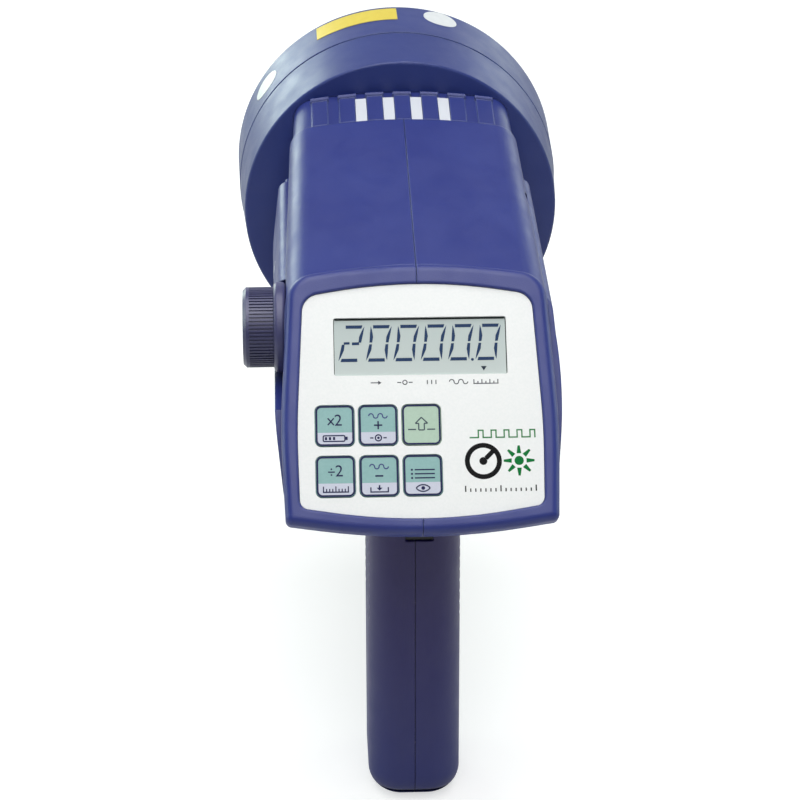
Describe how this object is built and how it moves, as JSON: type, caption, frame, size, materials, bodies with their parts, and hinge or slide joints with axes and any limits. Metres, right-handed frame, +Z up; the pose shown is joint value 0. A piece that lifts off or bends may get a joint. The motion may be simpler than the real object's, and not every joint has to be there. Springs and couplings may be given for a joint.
{
  "type": "hand-held stroboscope",
  "caption": "Hand-held xenon stroboscope with a pistol grip, trigger, round lamp head, sloping keypad panel with a digital display and a ribbed side dial.",
  "frame": {"origin": "mouth of the tripod socket, in the middle of the grip's base", "axes": "+Z up along the tripod socket, +Y along the lamp's beam, +X to the user's right"},
  "size_m": [0.1222, 0.2256, 0.231],
  "materials": {
    "blue_shell": "fine moulded texture",
    "blue_collar": "fine moulded texture",
    "blue_head": "fine moulded texture",
    "blue_ring": "fine moulded texture",
    "white_panel": "satin polyester sheet",
    "grey_plate": "moulded",
    "display_glass": "grey-green liquid crystal display",
    "contact_rubber": "matt",
    "circuit_board": "green solder resist",
    "chip_black": "moulded",
    "standoff_steel": "turned",
    "dome_steel": "bright",
    "capacitor_film": "gloss",
    "core_ferrite": "matt",
    "copper_winding": "enamelled copper",
    "coil_black": "moulded",
    "dial_plastic": "satin",
    "skirt_plastic": "satin",
    "shaft_steel": "turned",
    "encoder_black": "moulded",
    "nut_steel": "plated",
    "socket_black": "moulded",
    "trigger_plastic": "satin",
    "switch_black": "moulded",
    "plunger_red": "gloss",
    "lock_plastic": "satin",
    "cell_wrap": "shrink wrap",
    "nickel_strip": "bright",
    "insert_brass": "turned",
    "screw_steel": "blackened",
    "white_carrier": "satin",
    "lens_clear": "clear polycarbonate",
    "gasket_rubber": "matt",
    "reflector_mirror": "polished",
    "socket_ceramic": "ceramic",
    "pin_brass": "bright",
    "lamp_glass": "clear",
    "sticker_yellow": "blank vinyl",
    "sticker_white": "blank vinyl",
    "key_teal": "satin",
    "key_green": "satin"
  },
  "bodies": {
    "housing": {"left_housing": "blue_shell", "right_housing": "blue_shell", "head_collar": "blue_collar", "head_shell": "blue_head", "front_ring": "blue_ring", "panel_sheet": "white_panel", "panel_plate": "grey_plate", "display": "display_glass", "display_contacts": "contact_rubber", "display_board": "circuit_board", "control_board": "circuit_board", "power_board": "circuit_board", "control_chip": "chip_black", "board_standoffs": "standoff_steel", "key_domes": "dome_steel", "flash_capacitors": "capacitor_film", "transformer_core": "core_ferrite", "transformer_winding": "copper_winding", "trigger_coil": "coil_black", "dial_encoder": "encoder_black", "encoder_nut": "nut_steel", "input_jack": "socket_black", "output_jack": "socket_black", "charge_socket": "socket_black", "input_jack_nut": "nut_steel", "output_jack_nut": "nut_steel", "trigger_pin": "shaft_steel", "trigger_switch": "switch_black", "battery_cells": "cell_wrap", "cell_links": "nickel_strip", "tripod_insert": "insert_brass", "housing_screws": "screw_steel", "head_screws": "screw_steel", "lamp_carrier": "white_carrier", "lens": "lens_clear", "lens_gasket": "gasket_rubber", "reflector": "reflector_mirror", "lamp_socket": "socket_ceramic", "lamp_base": "socket_ceramic", "lamp_pins": "pin_brass", "lamp_envelope": "lamp_glass", "flash_tube": "lamp_glass", "electrodes": "shaft_steel", "yellow_sticker": "sticker_yellow", "white_stickers": "sticker_white"},
    "dial": {"dial": "dial_plastic", "dial_skirt": "skirt_plastic", "dial_shaft": "shaft_steel"},
    "trigger": {"trigger": "trigger_plastic"},
    "switch_plunger": {"switch_plunger": "plunger_red"},
    "trigger_lock": {"trigger_lock": "lock_plastic"},
    "key_double": {"key_double": "key_teal"},
    "key_plus": {"key_plus": "key_teal"},
    "key_function": {"key_function": "key_green"},
    "key_halve": {"key_halve": "key_teal"},
    "key_minus": {"key_minus": "key_teal"},
    "key_preset": {"key_preset": "key_teal"}
  },
  "joints": [
    {"name": "dial_turn", "type": "hinge", "parent": "housing", "child": "dial", "pos_m": [-0.05, 0.012, 0.1733], "axis": [-1, 0, 0], "continuous": true},
    {"name": "key_double_press", "type": "slide", "parent": "housing", "child": "key_double", "axis": [0, 0.7524, -0.6587], "range_m": [0, 0.0004], "stiffness_N_per_m": 2000, "springref_m": -0.0003},
    {"name": "key_plus_press", "type": "slide", "parent": "housing", "child": "key_plus", "axis": [0, 0.7524, -0.6587], "range_m": [0, 0.0004], "stiffness_N_per_m": 2000, "springref_m": -0.0003},
    {"name": "key_function_press", "type": "slide", "parent": "housing", "child": "key_function", "axis": [0, 0.7524, -0.6587], "range_m": [0, 0.0004], "stiffness_N_per_m": 2000, "springref_m": -0.0003},
    {"name": "key_halve_press", "type": "slide", "parent": "housing", "child": "key_halve", "axis": [0, 0.7524, -0.6587], "range_m": [0, 0.0004], "stiffness_N_per_m": 2000, "springref_m": -0.0003},
    {"name": "key_minus_press", "type": "slide", "parent": "housing", "child": "key_minus", "axis": [0, 0.7524, -0.6587], "range_m": [0, 0.0004], "stiffness_N_per_m": 2000, "springref_m": -0.0003},
    {"name": "key_preset_press", "type": "slide", "parent": "housing", "child": "key_preset", "axis": [0, 0.7524, -0.6587], "range_m": [0, 0.0004], "stiffness_N_per_m": 2000, "springref_m": -0.0003},
    {"name": "trigger_pull", "type": "hinge", "parent": "housing", "child": "trigger", "pos_m": [0, 0.03757, 0.1153], "axis": [-1, 0, 0], "range_deg": [0, 7], "stiffness_Nm_per_rad": 1.2, "springref_deg": -3.44},
    {"name": "plunger_press", "type": "slide", "parent": "housing", "child": "switch_plunger", "axis": [0, -1, 0], "range_m": [0, 0.0026]},
    {"name": "lock_press", "type": "slide", "parent": "housing", "child": "trigger_lock", "axis": [1, 0, 0], "range_m": [0, 0.002], "stiffness_N_per_m": 500, "springref_m": -0.001}
  ],
  "couplings": [
    {"joint": "plunger_press", "follows": "trigger_pull", "m_per_rad": 0.0205}
  ]
}
